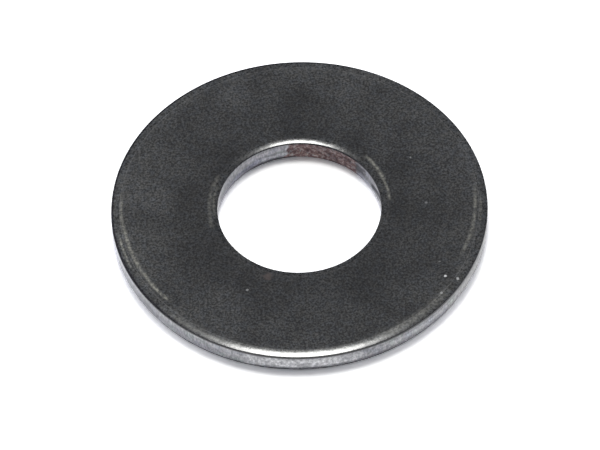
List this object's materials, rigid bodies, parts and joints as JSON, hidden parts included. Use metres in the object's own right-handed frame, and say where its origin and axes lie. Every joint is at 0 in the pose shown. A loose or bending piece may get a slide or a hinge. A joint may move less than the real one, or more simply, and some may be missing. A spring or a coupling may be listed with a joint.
{
  "type": "flat washer",
  "caption": "Round flat washer of stamped plain steel with a plain bolt hole, spreading a bolt head's or nut's load over a wide seat.",
  "frame": {"origin": "centre of the lower face, the one the washer lies on, where the sheared walls break out", "axes": "+Z along the bore axis, out of the upper face, the one with the die-rolled edges; X and Y are free because the washer is round"},
  "size_m": [0.0254, 0.0254, 0.0016],
  "materials": {
    "scaled_steel": "satin"
  },
  "bodies": {
    "root": {"washer": "scaled_steel"}
  },
  "joints": []
}
